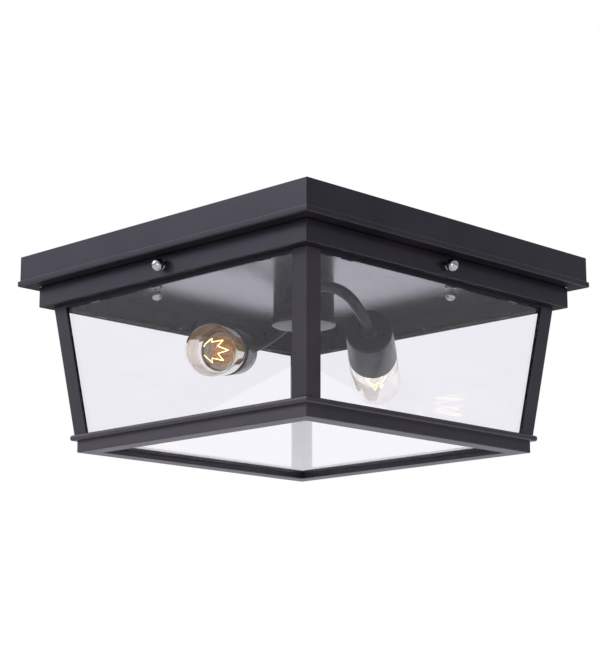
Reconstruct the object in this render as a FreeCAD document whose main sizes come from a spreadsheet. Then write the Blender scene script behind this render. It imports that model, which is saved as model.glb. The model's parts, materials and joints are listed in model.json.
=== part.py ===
import FreeCAD, Part
import math
import os
from FreeCAD import Placement, Rotation, Vector

# Square porch ceiling lantern. Origin at the centre of the ceiling plane, +Z up, sides along X and Y.
# The lantern hangs below the ceiling, so its heights are negative; depths are counted down from it.

doc = FreeCAD.newDocument("PorchCeilingLantern")
sheet = doc.addObject("Spreadsheet::Sheet", "Sizes")
nodes = []


class Size:
    """A length or angle of the sheet, or a sum or share of several, with its formula."""

    def __init__(self, text, value):
        self.text = text
        self.value = value

    def joined(self, sign, other, value, swap=False):
        first, second = (as_size(other), self) if swap else (self, as_size(other))
        return Size("(%s %s %s)" % (first.text, sign, second.text), value)

    def __add__(self, other):
        return self.joined("+", other, self.value + as_size(other).value)

    def __sub__(self, other):
        return self.joined("-", other, self.value - as_size(other).value)

    def __mul__(self, other):
        return self.joined("*", other, self.value * as_size(other).value)

    def __truediv__(self, other):
        return self.joined("/", other, self.value / as_size(other).value)

    def __radd__(self, other):
        return self.joined("+", other, as_size(other).value + self.value, True)

    def __rsub__(self, other):
        return self.joined("-", other, as_size(other).value - self.value, True)

    def __rmul__(self, other):
        return self.joined("*", other, as_size(other).value * self.value, True)

    def __neg__(self):
        return 0 - self


def as_size(number):
    return number if isinstance(number, Size) else Size("%.6g" % number, float(number))


def value_of(number):
    return as_size(number).value


rows_used = 0


def size(alias, number):
    """One driving dimension: its name, its number and the formula that pieces use."""
    global rows_used
    rows_used = rows_used + 1
    sheet.set("A%d" % rows_used, alias)
    sheet.set("B%d" % rows_used, str(number))
    sheet.setAlias("B%d" % rows_used, alias)
    return Size("Sizes.%s" % alias, float(number))


# ---------------------------------------------------------------- driving dimensions, millimetres

# Ceiling pan: a square steel tray with its open side against the ceiling.
pan_side = size("pan_side", 355.6)
pan_depth = size("pan_depth", 27.0)
pan_sheet = size("pan_sheet", 1.2)
pan_bead_out = size("pan_bead_out", 1.5)
pan_bead_tall = size("pan_bead_tall", 5.0)
pan_corner_round = size("pan_corner_round", 1.2)

# Square collar under the pan that the cage's ring slides over.
collar_tall = size("collar_tall", 13.0)
collar_sheet = size("collar_sheet", 1.2)
collar_to_ring = size("collar_to_ring", 3.8)

# Cage ring, sloped sides and bottom frame.
ring_side = size("ring_side", 331.0)
ring_tall = size("ring_tall", 18.3)
ring_sheet = size("ring_sheet", 1.2)
ring_under_pan = size("ring_under_pan", 0.3)
ring_round = size("ring_round", 0.8)
cage_top_side = size("cage_top_side", 312.0)
cage_foot_side = size("cage_foot_side", 283.0)
cage_side_tall = size("cage_side_tall", 113.9)
post_flange = size("post_flange", 16.0)
post_sheet = size("post_sheet", 1.6)
lip_tall = size("lip_tall", 2.6)
bead_side = size("bead_side", 288.0)
bead_tall = size("bead_tall", 5.2)
band_side = size("band_side", 279.0)
band_tall = size("band_tall", 10.2)
band_sheet = size("band_sheet", 1.5)
sill_wide = size("sill_wide", 16.0)
sill_hem_tall = size("sill_hem_tall", 4.0)

# Glass and the clips that hold it.
glass_thick = size("glass_thick", 3.0)
glass_gap = size("glass_gap", 0.2)
glass_end_gap = size("glass_end_gap", 0.3)
clip_wide = size("clip_wide", 12.0)
clip_drop = size("clip_drop", 2.0)
clip_sheet = size("clip_sheet", 0.8)
clip_spacing = size("clip_spacing", 210.0)
clip_screw_radius = size("clip_screw_radius", 1.5)

# Ceiling strap, its studs and the ball nuts.
strap_long = size("strap_long", 276.0)
strap_wide = size("strap_wide", 26.0)
strap_sheet = size("strap_sheet", 2.0)
box_screw_circle = size("box_screw_circle", 88.9)
box_screw_radius = size("box_screw_radius", 2.5)
stud_spacing = size("stud_spacing", 258.0)
stud_radius = size("stud_radius", 2.1)
stud_end_depth = size("stud_end_depth", 34.5)
stud_fit = size("stud_fit", 0.05)
nut_across = size("nut_across", 8.0)
nut_tall = size("nut_tall", 3.2)
ball_nut_radius = size("ball_nut_radius", 4.9)
ball_nut_tall = size("ball_nut_tall", 12.0)
ball_collar_radius = size("ball_collar_radius", 5.2)
ball_collar_tall = size("ball_collar_tall", 1.8)
ball_neck_radius = size("ball_neck_radius", 3.5)
ground_offset = size("ground_offset", 18.0)

# Thumbscrews at the middle of each ring side.
thumb_ball_radius = size("thumb_ball_radius", 5.3)
thumb_ball_out = size("thumb_ball_out", 5.6)
thumb_neck_radius = size("thumb_neck_radius", 3.2)
thumb_shank_radius = size("thumb_shank_radius", 2.0)
thumb_tip_gap = size("thumb_tip_gap", 0.25)
thread_fit = size("thread_fit", 0.05)
weld_nut_radius = size("weld_nut_radius", 4.5)
weld_nut_tall = size("weld_nut_tall", 2.8)

# Hub under the pan, with the threaded pipe that holds it.
hub_radius = size("hub_radius", 25.9)
hub_tall = size("hub_tall", 29.3)
hub_wall = size("hub_wall", 2.0)
hub_cap_radius = size("hub_cap_radius", 27.6)
hub_cap_tall = size("hub_cap_tall", 5.7)
hub_cap_round = size("hub_cap_round", 1.0)
spigot_fit = size("spigot_fit", 0.1)
pipe_radius = size("pipe_radius", 5.0)
pipe_bore = size("pipe_bore", 3.9)
pipe_above_plate = size("pipe_above_plate", 8.0)
pipe_nut_across = size("pipe_nut_across", 16.0)
pipe_nut_tall = size("pipe_nut_tall", 3.5)

# Arms: bent tubes from the hub to the backs of the two lamp sockets.
arm_radius = size("arm_radius", 4.75)
arm_bore = size("arm_bore", 3.75)
arm_fit = size("arm_fit", 0.05)
arm_depth = size("arm_depth", 39.8)
arm_start_radius = size("arm_start_radius", 17.5)
arm_nut_across = size("arm_nut_across", 14.0)
arm_nut_tall = size("arm_nut_tall", 3.0)
arm_into_socket = size("arm_into_socket", 5.5)
arm_ring_radius = size("arm_ring_radius", 6.8)
arm_ring_tall = size("arm_ring_tall", 3.0)
lead_radius = size("lead_radius", 2.0)
lead_start_radius = size("lead_start_radius", 12.0)
lead_into_socket = size("lead_into_socket", 17.7)

# Lamp socket, measured from its back face towards its mouth.
socket_long = size("socket_long", 58.5)
socket_back_radius = size("socket_back_radius", 20.3)
socket_mouth_radius = size("socket_mouth_radius", 21.5)
socket_wall = size("socket_wall", 1.2)
socket_bevel = size("socket_bevel", 1.0)
insulator_start = size("insulator_start", 18.0)
insulator_radius = size("insulator_radius", 18.9)
insulator_inset = size("insulator_inset", 2.0)
shell_radius = size("shell_radius", 13.8)
shell_sheet = size("shell_sheet", 0.5)
shell_start = size("shell_start", 28.0)
shell_inset = size("shell_inset", 4.0)
contact_radius = size("contact_radius", 4.0)

# Clear lamp with a medium screw base.
lamp_base_radius = size("lamp_base_radius", 13.0)
lamp_base_sheet = size("lamp_base_sheet", 0.4)
lamp_base_start = size("lamp_base_start", 30.0)
lamp_base_long = size("lamp_base_long", 23.0)
lamp_tip_gap = size("lamp_tip_gap", 0.2)
lamp_globe_radius = size("lamp_globe_radius", 22.3)
lamp_globe_from_mouth = size("lamp_globe_from_mouth", 63.5)
lamp_neck_radius = size("lamp_neck_radius", 12.2)
lamp_glass = size("lamp_glass", 0.8)
lamp_flare_long = size("lamp_flare_long", 24.0)
lamp_body_radius = size("lamp_body_radius", 21.6)
filament_radius = size("filament_radius", 0.35)
filament_ring = size("filament_ring", 11.0)
filament_low = size("filament_low", 42.0)
filament_high = size("filament_high", 68.0)

doc.recompute()


# ---------------------------------------------------------------- helpers for primitives and pieces

def bind(thing, sizes):
    for name, amount in sizes.items():
        thing.setExpression(name, as_size(amount).text)


def box(name, low, high):
    """A block between two corners, each a size or a number."""
    block = doc.addObject("Part::Box", name)
    bind(block, {
        "Length": high[0] - as_size(low[0]),
        "Width": high[1] - as_size(low[1]),
        "Height": high[2] - as_size(low[2]),
        "Placement.Base.x": low[0],
        "Placement.Base.y": low[1],
        "Placement.Base.z": low[2],
    })
    return block


def square_block(name, side, low, high):
    """A square prism centred on the vertical axis."""
    half = side / 2
    return box(name, (-half, -half, low), (half, half, high))


def rod(name, radius, low, high, across=(0, 0)):
    """An upright cylinder between two heights."""
    cylinder = doc.addObject("Part::Cylinder", name)
    bind(cylinder, {
        "Radius": radius,
        "Height": high - as_size(low),
        "Placement.Base.x": across[0],
        "Placement.Base.y": across[1],
        "Placement.Base.z": low,
    })
    return cylinder


def cone(name, low_radius, high_radius, low, high):
    """An upright cone or a tapered cylinder between two heights."""
    piece = doc.addObject("Part::Cone", name)
    bind(piece, {
        "Radius1": low_radius,
        "Radius2": high_radius,
        "Height": high - as_size(low),
        "Placement.Base.z": low,
    })
    return piece


def ball(name, radius, height):
    piece = doc.addObject("Part::Sphere", name)
    bind(piece, {"Radius": radius, "Placement.Base.z": height})
    return piece


def hexagon(name, across, low, high):
    """An upright hexagonal bar, given its width across flats."""
    bar = doc.addObject("Part::Prism", name)
    bar.Polygon = 6
    bind(bar, {
        "Circumradius": across / math.sqrt(3),
        "Height": high - as_size(low),
        "Placement.Base.z": low,
    })
    return bar


def taper(name, low, low_x, low_y, high, high_x, high_y):
    """A block whose X and Y ranges change from its low height to its high one."""
    wedge = doc.addObject("Part::Wedge", name)
    bind(wedge, {
        "Ymin": low, "Ymax": high,
        "Xmin": low_x[0], "Xmax": low_x[1],
        "Zmin": -low_y[1], "Zmax": -low_y[0],
        "X2min": high_x[0], "X2max": high_x[1],
        "Z2min": -high_y[1], "Z2max": -high_y[0],
    })
    wedge.Placement = Placement(Vector(0, 0, 0), Rotation(Vector(1, 0, 0), 90))
    return wedge


def cut(name, base, tool):
    result = doc.addObject("Part::Cut", name)
    result.Base = base
    result.Tool = tool
    return result


def fuse(name, pieces):
    result = doc.addObject("Part::MultiFuse", name)
    result.Shapes = pieces
    return result


def group(name, pieces):
    """Separate solids of one kind, kept together as one node."""
    result = doc.addObject("Part::Compound", name)
    result.Links = pieces
    return result


def rounded(name, base, radius, wanted):
    """The base with every edge that the test picks rounded off."""
    doc.recompute()
    result = doc.addObject("Part::Fillet", name)
    result.Base = base
    result.Edges = [(number, value_of(radius), value_of(radius))
                    for number, edge in enumerate(base.Shape.Edges, 1) if wanted(edge)]
    return result


def upright_at(half_side):
    """Picks the four upright corner edges at a half side."""
    def wanted(edge):
        ends = [vertex.Point for vertex in edge.Vertexes]
        return len(ends) == 2 and all(
            abs(abs(end.x) - half_side) < 0.01 and abs(abs(end.y) - half_side) < 0.01 for end in ends)
    return wanted


def node(name, piece, place=None):
    """Names a finished piece, and sets it in its place."""
    piece.Label = name
    if place is not None:
        piece.Placement = place
    nodes.append(piece)
    return piece


def turned(name, outline):
    """A lathe-turned body: a closed outline of (radius, height) points, turned about +Z."""
    body = doc.addObject("PartDesign::Body", name)
    sketch = body.newObject("Sketcher::SketchObject", name + "_outline")
    plane = [item for item in body.Origin.OriginFeatures if item.Role == "XZ_Plane"][0]
    sketch.AttachmentSupport = (plane, [""])
    sketch.MapMode = "FlatFace"
    points = [Vector(value_of(radius), value_of(height), 0) for radius, height in outline]
    count = len(points)
    for index in range(count):
        sketch.addGeometry(Part.LineSegment(points[index], points[(index + 1) % count]), False)
    for index in range(count):
        sketch.addConstraint(Sketcher.Constraint("Coincident", index, 2, (index + 1) % count, 1))
    for index, (radius, height) in enumerate(outline):
        for kind, axis, amount in (("DistanceX", -2, radius), ("DistanceY", -1, height)):
            if value_of(amount) == 0:
                sketch.addConstraint(Sketcher.Constraint("PointOnObject", index, 1, axis))
            else:
                number = sketch.addConstraint(
                    Sketcher.Constraint(kind, -1, 1, index, 1, value_of(amount)))
                sketch.setExpression("Constraints[%d]" % number, as_size(amount).text)
    turn = body.newObject("PartDesign::Revolution", name + "_turn")
    turn.Profile = sketch
    turn.ReferenceAxis = (sketch, ["V_Axis"])
    turn.Angle = 360
    return body


import Sketcher

FACING_DOWN = Placement(Vector(0, 0, 0), Rotation(Vector(1, 0, 0), 180))
SIGNS = (-1, 1)

# Depths of the main levels below the ceiling, and heights as Z.
plate_depth = pan_depth
ring_top = -(pan_depth + ring_under_pan)
ring_foot = ring_top - ring_tall
cage_foot = ring_foot - cage_side_tall
bead_foot = cage_foot - bead_tall
band_foot = bead_foot - band_tall


def half_face(height):
    """Half side of the cage's sloping outer faces at a height."""
    slope = (cage_top_side - cage_foot_side) / 2 / cage_side_tall
    return cage_top_side / 2 - (ring_foot - height) * slope


# ---------------------------------------------------------------- ceiling pan and its collar

def ceiling_pan():
    walls = square_block("pan_walls", pan_side, -pan_depth, 0)
    bead = square_block("pan_bead", pan_side + 2 * pan_bead_out, -pan_depth, pan_bead_tall - pan_depth)
    outside = fuse("pan_outside", [walls, bead])
    soft = rounded("pan_soft_corners", outside, pan_corner_round, upright_at(pan_side.value / 2))
    soft_bead = rounded(
        "pan_soft_bead", soft, pan_corner_round, upright_at(pan_side.value / 2 + pan_bead_out.value))
    inside = square_block("pan_inside", pan_side - 2 * pan_sheet, pan_sheet - pan_depth, 1)
    tray = cut("pan_tray", soft_bead, inside)
    holes = [rod("pan_pipe_hole", pipe_radius + stud_fit, -pan_depth - 1, 1)]
    for sign in SIGNS:
        across = sign * stud_spacing / 2 / math.sqrt(2)
        holes.append(rod("pan_stud_hole", stud_radius + 0.4, -pan_depth - 1, 1, (across, across)))
    node("ceiling_pan", cut("pan_drilled", tray, group("pan_holes", holes)))


def pan_collar():
    outer_side = ring_side - 2 * ring_sheet - 2 * collar_to_ring
    outer = square_block("collar_outer", outer_side, -pan_depth - collar_tall, -pan_depth)
    inner_side = outer_side - 2 * collar_sheet
    inner = square_block("collar_inner", inner_side, -pan_depth - collar_tall - 1, 1 - pan_depth)
    node("pan_collar", cut("collar_square", outer, inner))


# ---------------------------------------------------------------- ceiling strap, studs and ball nuts

ALONG_STRAP = Rotation(Vector(0, 0, 1), 45)


def mounting_strap():
    bar = box("strap_bar", (-strap_long / 2, -strap_wide / 2, -strap_sheet),
              (strap_long / 2, strap_wide / 2, 0))
    corners = rounded("strap_corners", bar, strap_wide / 4,
                      lambda edge: abs(edge.tangentAt(edge.FirstParameter).z) > 0.9)
    holes = [rod("strap_ground_hole", stud_radius + stud_fit, -strap_sheet - 1, 1, (ground_offset, 0))]
    for sign in SIGNS:
        holes.append(rod("strap_stud_hole", stud_radius + stud_fit, -strap_sheet - 1, 1,
                         (sign * stud_spacing / 2, 0)))
        holes.append(rod("strap_box_hole", box_screw_radius, -strap_sheet - 1, 1,
                         (sign * box_screw_circle / 2, 0)))
    strap = cut("strap_drilled", corners, group("strap_holes", holes))
    node("mounting_strap", strap, Placement(Vector(0, 0, 0), ALONG_STRAP))


def strap_fasteners():
    studs = []
    nuts = []
    for sign in SIGNS:
        across = sign * stud_spacing / 2 / math.sqrt(2)
        studs.append(rod("stud", stud_radius, -stud_end_depth, -0.2, (across, across)))
        blank = hexagon("stud_nut_blank", nut_across, -strap_sheet - nut_tall, -strap_sheet)
        drilled = cut("stud_nut", blank, rod("stud_nut_hole", stud_radius + stud_fit, -pan_depth, 0))
        bind(drilled, {"Placement.Base.x": across, "Placement.Base.y": across})
        nuts.append(drilled)
    node("strap_studs", group("studs", studs))
    node("stud_nuts", group("stud_lock_nuts", nuts))
    head_low = -strap_sheet - nut_tall
    screw = fuse("ground_screw_solid", [
        hexagon("ground_head", nut_across, head_low, -strap_sheet),
        rod("ground_shank", stud_radius, -strap_sheet - 0.5, -0.2)])
    across = ground_offset.value / math.sqrt(2)
    node("ground_screw", screw, Placement(Vector(across, across, 0), Rotation()))


def ball_nuts():
    for side, sign in (("left", -1), ("right", 1)):
        collar = rod("ball_collar", ball_collar_radius, -pan_depth - ball_collar_tall, -pan_depth)
        neck = rod("ball_neck", ball_neck_radius, ball_nut_radius - pan_depth - ball_nut_tall, -pan_depth)
        sphere = ball("ball_end", ball_nut_radius, ball_nut_radius - pan_depth - ball_nut_tall)
        blank = fuse("ball_nut_blank", [collar, neck, sphere])
        hole = rod("ball_nut_hole", stud_radius + stud_fit, -stud_end_depth - 0.6, 1)
        nut = cut("ball_nut_drilled", blank, hole)
        across = sign * stud_spacing.value / 2 / math.sqrt(2)
        node("ball_nut_" + side, nut, Placement(Vector(across, across, 0), Rotation()))


# ---------------------------------------------------------------- hub

def hub():
    foot = pan_depth + hub_tall
    arm_holes = []
    body = turned("hub_cup", [
        (pipe_radius + stud_fit, pan_depth), (hub_radius, pan_depth), (hub_radius, foot),
        (hub_radius - hub_wall, foot), (hub_radius - hub_wall, pan_depth + hub_wall),
        (pipe_radius + stud_fit, pan_depth + hub_wall)])
    body.Placement = FACING_DOWN
    for arm in ARMS:
        hole = doc.addObject("Part::Cylinder", "hub_arm_hole")
        bind(hole, {"Radius": arm_radius + arm_fit, "Height": hub_radius * 1.5})
        hole.Placement = Placement(arm["level"], arm["leaving"])
        arm_holes.append(hole)
    node("hub_body", cut("hub_drilled", body, group("hub_arm_holes", arm_holes)))

    pipe_low = pan_depth + hub_tall - 2
    node("hub_pipe", turned("hub_pipe_tube", [
        (pipe_bore, pan_depth - pipe_above_plate), (pipe_radius, pan_depth - pipe_above_plate),
        (pipe_radius, pipe_low), (pipe_bore, pipe_low)]), FACING_DOWN)
    nuts = []
    for low in (pan_sheet - pan_depth, -pan_depth - hub_wall - pipe_nut_tall):
        blank = hexagon("pipe_nut_blank", pipe_nut_across, low, low + pipe_nut_tall)
        nuts.append(cut("pipe_nut", blank, rod("pipe_nut_hole", pipe_radius + stud_fit, -2 * pan_depth, 0)))
    node("hub_pipe_nuts", group("pipe_nuts", nuts))

    cap_foot = foot + hub_cap_tall
    spigot = hub_radius - hub_wall - spigot_fit
    boss = pipe_radius + 2.5
    blind = pipe_low + 0.6
    node("hub_cap", turned("hub_cap_disc", [
        (0, cap_foot), (hub_cap_radius - hub_cap_round, cap_foot),
        (hub_cap_radius, cap_foot - hub_cap_round), (hub_cap_radius, foot + hub_cap_round / 2),
        (hub_cap_radius - hub_cap_round / 2, foot), (spigot, foot), (spigot, foot - 3),
        (spigot - hub_wall, foot - 3), (spigot - hub_wall, foot + 1), (boss, foot + 1),
        (boss, foot - 6), (pipe_radius + stud_fit, foot - 6), (pipe_radius + stud_fit, blind),
        (0, blind)]), FACING_DOWN)


# ---------------------------------------------------------------- arms

# Each arm's run is given in the plan directions across the hub (towards the right-hand socket) and
# along it, which are the diagonals of the square.
ACROSS = Vector(1, 1, 0).normalize()
ALONG = Vector(1, -1, 0).normalize()


def spot(across, along, height):
    return ACROSS * across + ALONG * along + Vector(0, 0, height)


def arm_plan(side, sign, leave, first_run, crown, last_run, socket, turn_out, dip, bends):
    """The route of one arm: off the hub, over its crown and into the back of its socket."""
    leave_size = size("arm_%s_leave" % side, leave)
    first_size = size("arm_%s_first_run" % side, first_run)
    last_size = size("arm_%s_last_run" % side, last_run)
    crown_sizes = [size("arm_%s_crown_%s" % (side, word), number)
                   for word, number in zip(("across", "along", "deep"), crown)]
    socket_sizes = [size("socket_%s_%s" % (side, word), number)
                    for word, number in zip(("across", "along", "deep"), socket)]
    bend_sizes = [size("arm_%s_bend_%s" % (side, word), number)
                  for word, number in zip(("one", "two", "three"), bends)]
    turn_size = size("socket_%s_turn_out" % side, turn_out)
    dip_size = size("socket_%s_dip" % side, dip)
    angle = math.radians(leave_size.value)
    leaving = sign * spot(math.sin(angle), math.cos(angle), 0)
    level = Vector(0, 0, -arm_depth.value)
    out = math.radians(turn_size.value)
    down = math.radians(dip_size.value)
    pointing = spot(sign * math.sin(out) * math.cos(down), -sign * math.cos(out) * math.cos(down),
                    -math.sin(down))
    back = spot(sign * socket_sizes[0].value, sign * socket_sizes[1].value, -socket_sizes[2].value)
    top = spot(sign * crown_sizes[0].value, sign * crown_sizes[1].value, -crown_sizes[2].value)
    return {
        "side": side,
        "leaving": Rotation(Vector(0, 0, 1), leaving),
        "from_hub": leaving,
        "level": level,
        "corners": [level + leaving * (hub_radius.value + first_size.value), top,
                    back - pointing * last_size.value],
        "bends": [bend.value for bend in bend_sizes],
        "back": back,
        "pointing": pointing,
        "place": Placement(back, Rotation(Vector(0, 0, 1), pointing)),
    }


def route(start, arm, finish):
    """Straight runs joined by tangent arcs of the arm's bend radii."""
    points = [start] + arm["corners"] + [finish]
    edges = []
    here = start
    for index, radius in enumerate(arm["bends"], 1):
        corner = points[index]
        before = (points[index - 1] - corner).normalize()
        after = (points[index + 1] - corner).normalize()
        half_turn = (math.pi - before.getAngle(after)) / 2
        setback = radius * math.tan(half_turn)
        middle = (before + after).normalize()
        centre = corner + middle * (radius / math.cos(half_turn))
        arc_start = corner + before * setback
        arc_end = corner + after * setback
        edges.append(Part.LineSegment(here, arc_start).toShape())
        edges.append(Part.Arc(arc_start, centre - middle * radius, arc_end).toShape())
        here = arc_end
    edges.append(Part.LineSegment(here, finish).toShape())
    return Part.Wire(edges)


def along_route(wire, start, direction, radius):
    """A solid round bar swept along a route."""
    circle = Part.Wire([Part.Circle(start, direction, value_of(radius)).toShape()])
    return wire.makePipeShell([circle], True, False)


def make_arm(arm):
    side = arm["side"]
    start = arm["level"] + arm["from_hub"] * arm_start_radius.value
    finish = arm["back"] + arm["pointing"] * arm_into_socket.value
    wire = route(start, arm, finish)
    solid = along_route(wire, start, arm["from_hub"], arm_radius)
    bore = along_route(wire, start, arm["from_hub"], arm_bore)
    tube = doc.addObject("Part::Feature", "arm_tube_" + side)
    tube.Shape = solid.cut(bore)
    node("arm_" + side, tube)

    lead_start = arm["level"] + arm["from_hub"] * lead_start_radius.value
    lead_finish = arm["back"] + arm["pointing"] * lead_into_socket.value
    lead = doc.addObject("Part::Feature", "lead_tube_" + side)
    lead_wire = route(lead_start, arm, lead_finish)
    lead.Shape = along_route(lead_wire, lead_start, arm["from_hub"], lead_radius)
    node("socket_lead_" + side, lead)

    ring = turned("arm_ring_solid_" + side, [
        (arm_radius + arm_fit, 0), (arm_ring_radius, 0), (arm_ring_radius, arm_ring_tall - 0.8),
        (arm_ring_radius - 0.8, arm_ring_tall), (arm_radius + arm_fit, arm_ring_tall)])
    node("arm_ring_" + side, ring, Placement(arm["back"], Rotation(Vector(0, 0, 1), -arm["pointing"])))

    nuts = []
    hub_inside = hub_radius - hub_wall
    seat = math.sqrt(hub_inside.value ** 2 - (arm_nut_across.value / math.sqrt(3)) ** 2) - 0.1
    places = (Placement(arm["level"] + arm["from_hub"] * (seat - arm_nut_tall.value), arm["leaving"]),
              Placement(arm["back"] + arm["pointing"] * socket_wall.value, arm["place"].Rotation))
    for place in places:
        blank = hexagon("arm_nut_blank", arm_nut_across, 0, arm_nut_tall)
        nut = cut("arm_nut", blank, rod("arm_nut_hole", arm_radius + arm_fit, -1, arm_nut_tall + 1))
        nut.Placement = place
        nuts.append(nut)
    node("arm_nuts_" + side, group("arm_lock_nuts", nuts))


# ---------------------------------------------------------------- lamp sockets and lamps

def make_socket(arm):
    side = arm["side"]
    place = arm["place"]
    node("socket_cup_" + side, turned("socket_cup_solid_" + side, [
        (arm_radius + arm_fit, 0), (socket_back_radius - socket_bevel, 0),
        (socket_back_radius, socket_bevel), (socket_mouth_radius, socket_long),
        (socket_mouth_radius - socket_wall, socket_long),
        (socket_back_radius - socket_wall, socket_wall), (arm_radius + arm_fit, socket_wall)]), place)
    cavity = shell_radius + 0.1
    front = socket_long - insulator_inset
    node("socket_insulator_" + side, turned("insulator_solid_" + side, [
        (0, insulator_start), (insulator_radius - 1, insulator_start),
        (insulator_radius, insulator_start + 1), (insulator_radius, front),
        (cavity, front), (cavity, shell_start - 1), (contact_radius + 0.1, shell_start - 1),
        (contact_radius + 0.1, shell_start - 4), (0, shell_start - 4)]), place)
    node("screw_shell_" + side, turned("shell_solid_" + side, [
        (shell_radius - shell_sheet, shell_start), (shell_radius, shell_start),
        (shell_radius, socket_long - shell_inset),
        (shell_radius - shell_sheet, socket_long - shell_inset)]), place)
    node("centre_contact_" + side, turned("contact_solid_" + side, [
        (0, shell_start - 4), (contact_radius, shell_start - 4), (contact_radius, shell_start - 1.5),
        (0, shell_start - 1)]), place)


def lamp_base_outline():
    """Rolled thread of the base as a row of rounded ridges, then the insulated end and its tip."""
    tip = shell_start - 1 + lamp_tip_gap
    ridges = 5
    pitch = 3.4
    inner = lamp_base_radius - 0.6 - lamp_base_sheet
    top = lamp_base_start + lamp_base_long
    outline = [(0, tip), (3.6, tip), (4.6, tip + 0.8), (lamp_base_radius - 4, lamp_base_start - 0.6),
               (lamp_base_radius - 0.6, lamp_base_start)]
    for index in range(ridges):
        foot = lamp_base_start + 1.0 + index * pitch
        outline.append((lamp_base_radius - 0.6, foot))
        outline.append((lamp_base_radius, foot + pitch * 0.35))
        outline.append((lamp_base_radius, foot + pitch * 0.6))
    outline.append((lamp_base_radius - 0.6, lamp_base_start + 1.0 + ridges * pitch))
    outline.append((lamp_base_radius, top - 3.0))
    outline.append((lamp_base_radius, top))
    outline.append((lamp_base_radius - lamp_base_sheet, top))
    outline.append((inner, top - 3.4))
    outline.append((inner, lamp_base_start + 1.2))
    outline.append((0, lamp_base_start + 1.2))
    return outline


def lamp_profile(radius, body, neck, neck_low, globe_height):
    """Closed half outline of the lamp: straight neck, flare, long body and a round end tangent to it."""
    opening = Vector(neck, 0, neck_low + 6)
    flare = Vector(body, 0, opening.z + lamp_flare_long.value)
    away = Vector(0, 0, globe_height) - flare
    reach = away.Length
    tilt = math.asin(radius / reach)
    heading = math.atan2(-away.x, away.z)
    line_angle = heading - tilt
    run = math.sqrt(reach ** 2 - radius ** 2)
    touch = Vector(flare.x - math.sin(line_angle) * run, 0, flare.z + math.cos(line_angle) * run)
    centre = Vector(0, 0, globe_height)
    crown = Vector(0, 0, globe_height + radius)
    middle = centre + ((touch - centre).normalize() + Vector(0, 0, 1)).normalize() * radius
    foot = Vector(neck, 0, neck_low)
    return [Part.LineSegment(Vector(0, 0, neck_low), foot).toShape(),
            Part.LineSegment(foot, opening).toShape(),
            Part.LineSegment(opening, flare).toShape(),
            Part.LineSegment(flare, touch).toShape(),
            Part.Arc(touch, middle, crown).toShape(),
            Part.LineSegment(crown, Vector(0, 0, neck_low)).toShape()]


def spun(edges):
    face = Part.Face(Part.Wire(edges))
    return face.revolve(Vector(0, 0, 0), Vector(0, 0, 1), 360)


def make_lamp(arm):
    side = arm["side"]
    place = arm["place"]
    node("lamp_base_" + side, turned("lamp_base_solid_" + side, lamp_base_outline()), place)

    globe_height = socket_long.value + lamp_globe_from_mouth.value
    neck_low = lamp_base_start.value + lamp_base_long.value - 7
    outer = spun(lamp_profile(lamp_globe_radius.value, lamp_body_radius.value, lamp_neck_radius.value - 0.8,
                              neck_low, globe_height))
    inner = spun(lamp_profile(lamp_globe_radius.value - lamp_glass.value,
                              lamp_body_radius.value - lamp_glass.value,
                              lamp_neck_radius.value - 0.8 - lamp_glass.value, neck_low - 1, globe_height))
    glass = doc.addObject("Part::Feature", "lamp_glass_solid_" + side)
    glass.Shape = outer.cut(inner)
    node("lamp_glass_" + side, glass, place)

    stem_low = neck_low + 0.5
    stem_wide = lamp_neck_radius.value - 0.8 - lamp_glass.value - 0.1
    base = socket_long.value
    filament_low_at = base + filament_low.value
    outline = [(0, stem_low), (stem_wide, stem_low), (stem_wide, stem_low + 1.5), (3.2, stem_low + 9),
               (2.6, filament_low_at - 8), (3.4, filament_low_at - 5), (0, filament_low_at - 5)]
    stem_body = turned("stem_solid_" + side, outline)
    wires = [stem_body]
    points = filament_points(base)
    for point in (points[0], points[-1]):
        foot = Vector(point.x * 0.15, point.y * 0.15, filament_low_at - 6)
        direction = point - foot
        direction = direction * ((direction.Length - 0.8) / direction.Length)
        wires.append(wire_between("support_" + side, foot, foot + direction, 0.3))
    node("lamp_stem_" + side, fuse("stem_and_wires_" + side, wires), place)

    pieces = []
    for first, second in zip(points, points[1:]):
        pieces.append(Part.makeCylinder(filament_radius.value, (second - first).Length, first, second - first))
    for point in points[1:-1]:
        pieces.append(Part.makeSphere(filament_radius.value, point))
    filament = doc.addObject("Part::Feature", "filament_solid_" + side)
    filament.Shape = pieces[0].multiFuse(pieces[1:])
    node("filament_" + side, filament, place)


def filament_points(base):
    """Corners of the zigzag that stands in a ring round the lamp's axis."""
    corners = []
    steps = 11
    for step in range(steps):
        angle = math.radians(20 + step * 320 / (steps - 1))
        height = base + (filament_high.value if step % 2 else filament_low.value)
        reach = filament_ring.value * (0.8 if step % 2 else 1.0)
        corners.append(Vector(reach * math.cos(angle), reach * math.sin(angle), height))
    return corners


def wire_between(name, start, finish, radius):
    wire = doc.addObject("Part::Cylinder", name)
    wire.Radius = radius
    wire.Height = (finish - start).Length
    wire.Placement = Placement(start, Rotation(Vector(0, 0, 1), finish - start))
    return wire


# ---------------------------------------------------------------- cage

def span(sign, inner, outer):
    """The low and high ends of a range that lies on one side of the middle."""
    return (inner, outer) if sign > 0 else (-outer, -inner)


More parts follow.
